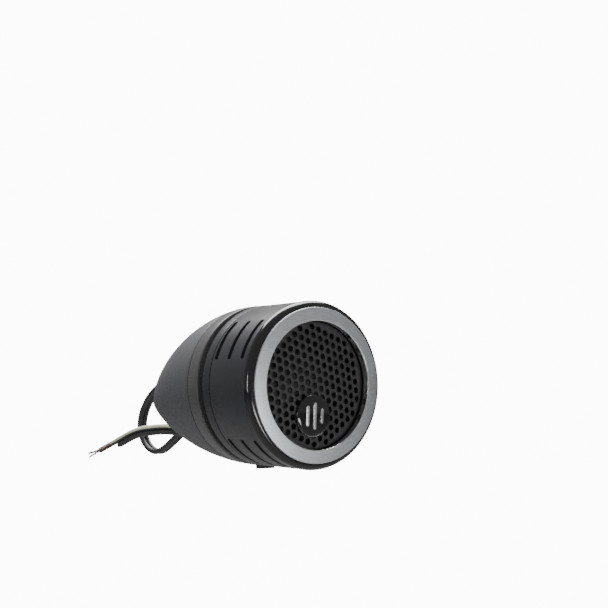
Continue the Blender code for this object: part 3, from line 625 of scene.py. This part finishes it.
# ---------------------------------------------------------------------------------------------
# Neck cover: the capsule's rear moulding in satin black. Its hollow neck drops through the
# swivel, and three countersunk screws pull it against the face plate.
neck_gap = 2.5 * MM
capsule_radius = 24.0 * MM
sleeve_wall = 1.6 * MM
sleeve_rear = neck_gap + 3.8 * MM
screw_circle = 18.4 * MM
satin_black, _, _ = moulded_look(
    "satin_black", (0.03, 0.031, 0.035), (0.037, 0.038, 0.042), 2100, 70, 0.36, 0.44, 0.022 * MM
)


def round_bar(start, end, radius, facets=32):
    """A plain round cutter between two points."""
    start, end = Vector(start), Vector(end)
    bm = bmesh.new()
    bmesh.ops.create_cone(bm, cap_ends=True, segments=facets, radius1=radius, radius2=radius,
                          depth=(end - start).length)
    turn = (end - start).to_track_quat("Z", "Y").to_matrix().to_4x4()
    bm.transform(Matrix.Translation((start + end) / 2) @ turn @ Matrix.Rotation(0.05, 4, "Z"))
    return bm


def cut_away(bm, cutter):
    """The first bmesh with the second one's solid cut out of it."""
    objects = []
    for name, made in (("to_cut", bm), ("cutter", cutter)):
        bmesh.ops.recalc_face_normals(made, faces=made.faces)
        mesh = bpy.data.meshes.new(name)
        made.to_mesh(mesh)
        made.free()
        objects.append(bpy.data.objects.new(name, mesh))
        bpy.context.collection.objects.link(objects[-1])
    step = objects[0].modifiers.new("cut", "BOOLEAN")
    step.operation = "DIFFERENCE"
    step.solver = "EXACT"
    step.object = objects[1]
    shaped = objects[0].evaluated_get(bpy.context.evaluated_depsgraph_get())
    result = bmesh.new()
    result.from_mesh(shaped.to_mesh())
    for thing in objects:
        mesh = thing.data
        bpy.data.objects.remove(thing)
        bpy.data.meshes.remove(mesh)
    return result


spigot = capsule_radius - sleeve_wall - fit
spigot_wall = 1.4 * MM
spigot_front = sleeve_rear + 2.4 * MM
neck_bore = neck_radius - 1.6 * MM
neck_rear = -8.2 * MM
cover_floor = neck_gap + 1.9 * MM
screw_hole, screw_head, pin_hole = 1.25 * MM, 2.2 * MM, 1.4 * MM
cover = revolve(rounded([
    (neck_bore, neck_rear, 0.2 * MM), (neck_radius, neck_rear, 0.3 * MM),
    (neck_radius, neck_gap, 0.3 * MM), (capsule_radius, neck_gap, 0.55 * MM),
    (capsule_radius, sleeve_rear - fit, 0.12 * MM), (spigot, sleeve_rear - fit, 0.1 * MM),
    (spigot, spigot_front, 0.2 * MM), (spigot - spigot_wall, spigot_front, 0.2 * MM),
    (spigot - spigot_wall, cover_floor, 0), (neck_bore, cover_floor, 0.2 * MM),
]))
for number in range(3):
    angle = pi / 2 + 2 * pi * (number + 0.5) / 3
    x, y = screw_circle * cos(angle), screw_circle * sin(angle)
    below = (x, y, neck_gap - MM)
    cover = cut_away(cover, round_bar(below, (x, y, cover_floor + MM), screw_hole))
    cover = cut_away(cover, round_bar(below, (x, y, neck_gap + MM), screw_head))
for side in (1, -1):
    cover = cut_away(cover, round_bar((0, side * (neck_bore - MM), -pivot_depth),
                                      (0, side * (neck_radius + MM), -pivot_depth), pin_hole))
add_piece("rear_cover", cover, (satin_black,), "capsule", "satin_black", "neck_cover",
          axes=tweeter_axes, sharp=radians(34))
dress(zinc_plate, "cover_screw_1", "cover_screw_2", "cover_screw_3")

# ---------------------------------------------------------------------------------------------
# Capsule sleeve: a thin moulded tube with a little draft, pierced by four groups of three vent
# slots. The bezel closes its front.
capsule_flare = 0.4 * MM
bezel_seam = front_station - 2.4 * MM
ring_proud = 0.35 * MM  # how far the trim ring's outer edge stands ahead of the bezel
ring_thickness = 1.35 * MM
ring_face = front_station + ring_proud
ring_seat = ring_face - ring_thickness - fit
sleeve_inner = capsule_radius - sleeve_wall
sleeve_wide = capsule_radius + capsule_flare
sleeve_front = bezel_seam - 0.2 * MM
slot_width = 1.6 * MM
slot_pitch = 6.45 * MM
slot_first = 8.0 * MM
slot_arc = radians(32)
slot_start = radians(18)  # up from the side that faces away from the mounting face
slot_rows, slot_groups = 3, 4
slot_corner = 0.35 * MM


def vent_slots():
    """Arc-shaped cutters with slightly rounded ends, as one bmesh."""
    bm = bmesh.new()
    inside, outside = sleeve_inner - MM, sleeve_wide + MM
    corner = slot_corner / capsule_radius
    steps = [0, corner * 0.4, corner]
    steps += [corner + (slot_arc - 2 * corner) * k / 14 for k in range(1, 14)]
    steps += [slot_arc - corner, slot_arc - corner * 0.4, slot_arc]
    for group in range(slot_groups):
        for row in range(slot_rows):
            middle = slot_first + row * slot_pitch
            ribs = []
            for step in steps:
                near_end = min(step, slot_arc - step) / corner
                half = slot_width / 2
                if near_end < 1:
                    half -= slot_corner * (1 - sqrt(1 - (1 - near_end) ** 2))
                angle = pi - (slot_start + step + group * 2 * pi / slot_groups)
                spots = ((inside, middle - half), (outside, middle - half),
                         (outside, middle + half), (inside, middle + half))
                ribs.append([Vector((r * cos(angle), r * sin(angle), z)) for r, z in spots])
            skin_rings(bm, ribs)
    return bm


sleeve = revolve(rounded([
    (sleeve_inner, sleeve_rear, 0.1 * MM), (capsule_radius, sleeve_rear, 0.15 * MM),
    (sleeve_wide, sleeve_front, 0.18 * MM), (sleeve_inner, sleeve_front, 0.05 * MM),
]), 180)
add_piece("slotted_sleeve", cut_away(sleeve, vent_slots()), (satin_black,), "capsule",
          "satin_black", "capsule_sleeve", axes=tweeter_axes, sharp=radians(34))

# ---------------------------------------------------------------------------------------------
# Front bezel: a polished black ring pressed into the sleeve. Its front edge is a soft quarter
# round that ends in a narrow gutter beside the metal trim ring.
bezel_radius = 24.5 * MM
ring_outer = 22.55 * MM
ring_inner = 18.6 * MM
ring_clearance = 0.15 * MM
polished_black, _, polished_shader = moulded_look(
    "polished_black", (0.008, 0.008, 0.009), (0.012, 0.012, 0.013), 400, 90, 0.1, 0.17, 0.004 * MM
)
polished_shader.inputs["Coat Weight"].default_value = 0.35
polished_shader.inputs["Coat Roughness"].default_value = 0.06
seat_radius = ring_outer + ring_clearance
bezel_bore = ring_inner + ring_clearance
edge_low, edge_high = bezel_seam + 0.3 * MM, front_station - 0.3 * MM
soft_front = []
for step in range(17):
    angle = pi / 2 * step / 16
    soft_front.append((seat_radius + (bezel_radius - seat_radius) * cos(angle),
                       edge_low + (edge_high - edge_low) * sin(angle), 0))
bezel_rear = front_station - 6.0 * MM
add_piece("polished_bezel", revolve(rounded([
    (bezel_bore, bezel_rear, 0.2 * MM), (sleeve_inner - fit, bezel_rear, 0.3 * MM),
    (sleeve_inner - fit, bezel_seam, 0), (bezel_radius, bezel_seam, 0.12 * MM), *soft_front,
    (seat_radius, ring_seat, 0),
    (bezel_bore, ring_seat, 0.1 * MM),
]), 200), (polished_black,), "capsule", "gloss_black", "front_bezel", axes=tweeter_axes)

# ---------------------------------------------------------------------------------------------
# Trim ring: a spun aluminium ring, slightly coned so that its bore stands ahead of its outer
# edge. Its face is brushed, and its bore and the chamfer round it are turned bright.
brush_group, entry, exit_ = start_group(
    "brushed_metal",
    [("Along scale", 60.0), ("Across scale", 9000.0), ("Dark", (0.5, 0.5, 0.5, 1)),
     ("Light", (0.8, 0.8, 0.8, 1)), ("Smoothest", 0.25), ("Roughest", 0.4)],
    [("Colour", "NodeSocketColor"), ("Roughness", "NodeSocketFloat"), ("Height", "NodeSocketFloat")],
)
where = brush_group.nodes.new("ShaderNodeTexCoord")
parts = brush_group.nodes.new("ShaderNodeSeparateXYZ")
stretch_x = brush_group.nodes.new("ShaderNodeMath")
stretch_x.operation = "MULTIPLY"
stretch_y = brush_group.nodes.new("ShaderNodeMath")
stretch_y.operation = "MULTIPLY"
stretched = brush_group.nodes.new("ShaderNodeCombineXYZ")
strokes = brush_group.nodes.new("ShaderNodeTexNoise")
strokes.inputs["Scale"].default_value = 1.0
strokes.inputs["Detail"].default_value = 3
shade = brush_group.nodes.new("ShaderNodeMix")
shade.data_type = "RGBA"
contrast = brush_group.nodes.new("ShaderNodeMapRange")
contrast.inputs["From Min"].default_value = 0.3
contrast.inputs["From Max"].default_value = 0.7
polish = brush_group.nodes.new("ShaderNodeMapRange")
polish.inputs["From Min"].default_value = 0.3
polish.inputs["From Max"].default_value = 0.7
link = brush_group.links.new
link(where.outputs["Object"], parts.inputs["Vector"])
link(parts.outputs["X"], stretch_x.inputs[0])
link(entry.outputs["Along scale"], stretch_x.inputs[1])
link(parts.outputs["Y"], stretch_y.inputs[0])
link(entry.outputs["Across scale"], stretch_y.inputs[1])
link(stretch_x.outputs["Value"], stretched.inputs["X"])
link(stretch_y.outputs["Value"], stretched.inputs["Y"])
link(stretched.outputs["Vector"], strokes.inputs["Vector"])
link(strokes.outputs["Fac"], contrast.inputs["Value"])
link(contrast.outputs["Result"], shade.inputs["Factor"])
link(entry.outputs["Dark"], shade.inputs["A"])
link(entry.outputs["Light"], shade.inputs["B"])
link(strokes.outputs["Fac"], polish.inputs["Value"])
link(entry.outputs["Smoothest"], polish.inputs["To Min"])
link(entry.outputs["Roughest"], polish.inputs["To Max"])
link(shade.outputs["Result"], exit_.inputs["Colour"])
link(polish.outputs["Result"], exit_.inputs["Roughness"])
link(strokes.outputs["Fac"], exit_.inputs["Height"])


def brushed_look(name, dark, light, along, across_scale, smooth, rough, relief):
    """A brushed metal: its two shades, the strokes' scales, roughness range and relief."""
    look, tree, shader = plain_look(name, light, (smooth + rough) / 2, 1.0)
    finish = tree.nodes.new("ShaderNodeGroup")
    finish.node_tree = brush_group
    for label, value in (("Along scale", along), ("Across scale", across_scale),
                         ("Dark", (*dark, 1)), ("Light", (*light, 1)),
                         ("Smoothest", smooth), ("Roughest", rough)):
        finish.inputs[label].default_value = value
    bump = tree.nodes.new("ShaderNodeBump")
    bump.inputs["Strength"].default_value = 0.5
    bump.inputs["Distance"].default_value = relief
    tree.links.new(finish.outputs["Colour"], shader.inputs["Base Color"])
    tree.links.new(finish.outputs["Roughness"], shader.inputs["Roughness"])
    tree.links.new(finish.outputs["Height"], bump.inputs["Height"])
    tree.links.new(bump.outputs["Normal"], shader.inputs["Normal"])
    return look


brushed_aluminium = brushed_look(
    "brushed_aluminium", (0.56, 0.58, 0.6), (0.72, 0.74, 0.76), 220, 5200, 0.38, 0.52, 0.012 * MM
)
turned_chamfer = brushed_look(
    "turned_chamfer", (0.78, 0.79, 0.8), (0.9, 0.9, 0.9), 900, 900, 0.16, 0.26, 0.004 * MM
)
ring_cone = 0.55 * MM
chamfer = 0.25 * MM
trim = revolve(rounded([
    (ring_inner, ring_face - ring_thickness, 0), (ring_outer, ring_face - ring_thickness, 0),
    (ring_outer, ring_face, 0.12 * MM), (ring_inner + chamfer, ring_face + ring_cone, 0.06 * MM),
    (ring_inner, ring_face + ring_cone - 0.2 * MM, 0.06 * MM),
]), 200)
for face in trim.faces:
    middle = face.calc_center_median()
    if hypot(middle.x, middle.y) < ring_inner + chamfer:
        face.material_index = 1
add_piece("brushed_ring", trim, (brushed_aluminium, turned_chamfer), "capsule", "aluminium",
          "trim_ring", axes=tweeter_axes, sharp=radians(30))

# ---------------------------------------------------------------------------------------------
# Grille: a perforated steel disc, pressed to a shallow dome, with a turned-down skirt and a
# black powder coat that rounds the punched edges.
grille_rise = 0.9 * MM
grille_edge = front_station - 1.9 * MM
grille_reach = ring_inner - 0.15 * MM
grille_sphere = (grille_reach**2 + grille_rise**2) / (2 * grille_rise)
grille_top = grille_edge + grille_rise
grille_sheet = 0.6 * MM
hole_pitch = 2.6 * MM
punched_radius = 0.88 * MM
hole_soften = 0.11 * MM  # how far the coat rounds each punched edge
hole_facets = 16
row_lean = radians(9)
plain_border = 0.1 * MM


def on_dome(x, y):
    return grille_top - grille_sphere + sqrt(grille_sphere**2 - x * x - y * y)


def lattice(reach):
    """Points of the punched holes' triangular lattice within reach of the middle."""
    found = []
    rows = ceil(reach / (hole_pitch * sqrt(3) / 2)) + 1
    for row in range(-rows, rows + 1):
        for step in range(-rows, rows + 1):
            u = row * hole_pitch * sqrt(3) / 2
            v = (step + (row % 2) / 2) * hole_pitch
            x = u * cos(row_lean) - v * sin(row_lean)
            y = u * sin(row_lean) + v * cos(row_lean)
            if hypot(x, y) < reach:
                found.append(Vector((x, y)))
    return found


wide_radius = punched_radius + hole_soften
holes = lattice(grille_reach - wide_radius - plain_border)
flat_points, loops = [], []
for middle, radius, count in [(Vector((0, 0)), grille_reach, 160)] + [
        (hole, wide_radius, hole_facets) for hole in holes]:
    start = len(flat_points)
    for k in range(count):
        angle = 2 * pi * k / count
        flat_points.append(middle + Vector((cos(angle), sin(angle))) * radius)
    loops += [(start + k, start + (k + 1) % count) for k in range(count)]
flat, _, faces, _, _, _ = delaunay_2d_cdt(flat_points, loops, [], 0, 1e-7)
bm = bmesh.new()
top_verts = [bm.verts.new((p.x, p.y, on_dome(p.x, p.y))) for p in flat]
for face in faces:
    middle = sum((flat[k] for k in face), Vector((0, 0))) / len(face)
    if all((middle - hole).length > wide_radius * 0.97 for hole in holes):
        bm.faces.new([top_verts[k] for k in face])
bmesh.ops.delete(bm, geom=[v for v in bm.verts if not v.link_faces], context="VERTS")
bmesh.ops.recalc_face_normals(bm, faces=bm.faces)
if sum(face.normal.z for face in bm.faces) < 0:
    bmesh.ops.reverse_faces(bm, faces=bm.faces)
sheet_top = list(bm.faces)
rims = [edge for edge in bm.edges if edge.is_boundary]
lower = bmesh.ops.duplicate(bm, geom=sheet_top)
mirror = {old: new for old, new in lower["vert_map"].items() if isinstance(old, bmesh.types.BMVert)}
for vert in {mirror[v] for face in sheet_top for v in face.verts}:
    vert.co.z -= grille_sheet
bmesh.ops.reverse_faces(bm, faces=[f for f in lower["geom"] if isinstance(f, bmesh.types.BMFace)])
waist = {}
for vert in {v for edge in rims for v in edge.verts}:
    place = Vector(vert.co.xy)
    hole = min(holes, key=lambda h: (h - place).length)
    if (place - hole).length > wide_radius * 1.05:
        continue
    inner = hole + (place - hole) * punched_radius / wide_radius
    halfway = hole + (place - hole) * (punched_radius + hole_soften * 0.3) / wide_radius
    waist[vert] = (bm.verts.new((*halfway, vert.co.z - hole_soften * 0.3)),
                   bm.verts.new((*inner, vert.co.z - hole_soften)))
    mirror[vert].co.xy = inner
for edge in rims:
    a, b = edge.verts
    steps = [(a, b), (mirror[a], mirror[b])]
    if a in waist and b in waist:
        steps[1:1] = list(zip(waist[a], waist[b]))
    for (a1, b1), (a2, b2) in zip(steps, steps[1:]):
        bm.faces.new((b1, a1, a2, b2))
skirt_low = grille_edge - 1.6 * MM
skirt = revolve(rounded([
    (grille_reach, grille_edge - 0.05 * MM, 0.05 * MM), (grille_reach, skirt_low, 0.1 * MM),
    (grille_reach - grille_sheet, skirt_low, 0.1 * MM),
    (grille_reach - grille_sheet, grille_edge - 0.1 * MM, 0.05 * MM),
]), 160)
skirt_mesh = bpy.data.meshes.new("skirt")
skirt.to_mesh(skirt_mesh)
skirt.free()
bm.from_mesh(skirt_mesh)
bpy.data.meshes.remove(skirt_mesh)
powder_coat, _, _ = moulded_look(
    "powder_coat", (0.03, 0.03, 0.033), (0.04, 0.04, 0.043), 1400, 200, 0.4, 0.52, 0.03 * MM
)
add_piece("perforated_grille", bm, (powder_coat,), "capsule", "grille_steel", "grille",
          axes=tweeter_axes)

# ---------------------------------------------------------------------------------------------
# Badge: a glossy black plastic button riveted low on the grille, domed on top. Three plain
# plated bars are let into its crown.
badge_radius = 6.15 * MM
badge_drop, badge_aside = 8.7 * MM, -0.9 * MM
badge_lift = 0.15 * MM
badge_crown = badge_lift + 1.2 * MM
badge_fall = 0.45 * MM  # from its middle to its shoulder
crown_radius = badge_radius * 0.93
badge_height = on_dome(0, badge_drop)
badge_tip = asin(badge_drop / grille_sphere)
badge_axes = (tweeter_axes @ Matrix.Translation((badge_aside, -badge_drop, badge_height))
              @ Matrix.Rotation(badge_tip, 4, "X"))
gloss_badge, _, badge_shader = moulded_look(
    "gloss_badge", (0.006, 0.006, 0.007), (0.01, 0.01, 0.011), 300, 150, 0.07, 0.12, 0.002 * MM
)
badge_shader.inputs["Coat Weight"].default_value = 0.5
badge_shader.inputs["Coat Roughness"].default_value = 0.04
crown = []
for step in range(13):
    share = 1 - step / 12
    crown.append((crown_radius * share, badge_crown - badge_fall * share**2, 0))
add_piece("badge_button", revolve(rounded([
    (0, badge_lift, 0), (badge_radius - 0.1 * MM, badge_lift, 0.08 * MM),
    (badge_radius, badge_lift + 0.5 * MM, 0.25 * MM), *crown,
]), 96), (gloss_badge,), "capsule", "gloss_black", "badge", axes=badge_axes)

plated_silver = brushed_look(
    "plated_silver", (0.75, 0.76, 0.78), (0.88, 0.88, 0.89), 800, 2600, 0.18, 0.28, 0.004 * MM
)
bar_half = 0.5 * MM
bar_low = badge_crown + 0.02 * MM
bar_tall = 0.3 * MM
for number, (x, half) in enumerate(((2.6, 2.2), (0.0, 3.9), (-2.6, 3.0)), 1):
    x, half = x * MM, half * MM
    bm = bmesh.new()
    outline = ([Vector((x + bar_half * cos(a), half - bar_half + bar_half * sin(a)))
                for a in (pi * k / 12 for k in range(13))]
               + [Vector((x - bar_half * cos(a), -half + bar_half - bar_half * sin(a)))
                  for a in (pi * k / 12 for k in range(13))])
    centre = Vector((x, 0))
    rings = []
    for share, rise in ((1, -0.05), (1, bar_tall / MM - 0.1), (0.93, bar_tall / MM - 0.02),
                        (0.8, bar_tall / MM)):
        ring = []
        for point in outline:
            point = centre + (point - centre) * share
            fall = badge_fall * (point.length / crown_radius) ** 2
            ring.append(Vector((*point, bar_low - fall + rise * MM)))
        rings.append(ring)
    skin_rings(bm, rings)
    add_piece(f"badge_bar_{number}_plated", bm, (plated_silver,), "capsule", "silver",
              f"badge_bar_{number}", axes=badge_axes)

# ---------------------------------------------------------------------------------------------
# Driver: behind the grille a coated silk dome works on a slotted face plate, with its motor in
# plated steel, a felt pad under the dome and a wired terminal board behind.
coated_silk, _, _ = moulded_look(
    "coated_silk", (0.02, 0.02, 0.022), (0.035, 0.035, 0.038), 3000, 250, 0.5, 0.65, 0.04 * MM
)
grey_felt, _, _ = moulded_look(
    "grey_felt", (0.16, 0.16, 0.16), (0.24, 0.24, 0.24), 2500, 600, 0.9, 1.0, 0.15 * MM
)
motor_steel, _, _ = moulded_look(
    "motor_steel", (0.42, 0.43, 0.46), (0.52, 0.52, 0.52), 1800, 300, 0.32, 0.45, 0.01 * MM, 1.0
)
nickel_plate, _, _ = moulded_look(
    "nickel_plate", (0.58, 0.57, 0.54), (0.66, 0.64, 0.6), 1200, 300, 0.18, 0.3, 0.006 * MM, 1.0
)
amber_film, _, _ = moulded_look(
    "amber_film", (0.22, 0.09, 0.02), (0.3, 0.13, 0.03), 900, 300, 0.3, 0.4, 0.006 * MM
)
copper_wire, _, _ = moulded_look(
    "copper_wire", (0.72, 0.32, 0.18), (0.8, 0.42, 0.26), 4000, 500, 0.3, 0.42, 0.03 * MM, 1.0
)
board_laminate, _, _ = moulded_look(
    "board_laminate", (0.03, 0.12, 0.05), (0.05, 0.16, 0.07), 2500, 300, 0.4, 0.55, 0.02 * MM
)
stamped_brass, _, _ = moulded_look(
    "stamped_brass", (0.68, 0.5, 0.2), (0.76, 0.6, 0.32), 1500, 400, 0.25, 0.4, 0.008 * MM, 1.0
)
dress(plain_black, "face_plate")
dome_radius, dome_rise = 12.5 * MM, 3.2 * MM
skirt_level = front_station - 6.9 * MM
silk_sheet = 0.3 * MM
roll_middle, roll_half = 14.5 * MM, 1.6 * MM
dome_sphere = (dome_radius**2 + dome_rise**2) / (2 * dome_rise)
dome_top = []
for step in range(21):
    radius = dome_radius * step / 20
    fall = dome_sphere - sqrt(dome_sphere**2 - radius**2)
    dome_top.append((radius, skirt_level + dome_rise - fall))
dome_under = [(r * 0.97, z - silk_sheet) for r, z in reversed(dome_top)]
add_piece("silk_dome", revolve([*dome_top, (dome_radius + 0.25 * MM, skirt_level - 0.1 * MM),
                                (dome_radius, skirt_level - silk_sheet), *dome_under], 96),
          (coated_silk,), "diaphragm", "silk", "dome", axes=tweeter_axes)
roll_top = [(roll_middle - roll_half * cos(pi * k / 16), skirt_level + 1.3 * MM * sin(pi * k / 16))
            for k in range(17)]
roll_under = [(roll_middle + (r - roll_middle) * 0.8, z - silk_sheet)
              for r, z in reversed(roll_top[1:-1])]
add_piece("surround_roll", revolve([
    *roll_top, (17.3 * MM, skirt_level), (17.3 * MM, skirt_level - silk_sheet),
    (15.9 * MM, skirt_level - silk_sheet), *roll_under, (12.8 * MM, skirt_level - silk_sheet),
], 96), (coated_silk,), "capsule", "silk", "surround", axes=tweeter_axes)
dress(grey_felt, "damping_pad")
dress(motor_steel, "yoke_cup", "top_plate")
dress(nickel_plate, "magnet")
dress(amber_film, "voice_coil_former")
dress(copper_wire, "voice_coil_winding")
dress(board_laminate, "terminal_board")
dress(stamped_brass, "terminal_plus", "terminal_minus")

# ---------------------------------------------------------------------------------------------
# Inner lead: the cord's jacket goes on inside the pod, and a second length goes through the
# hollow neck to the terminals. The two meet where the turn and tilt axes cross.
dress(black_rubber, "pod_lead", "capsule_lead")
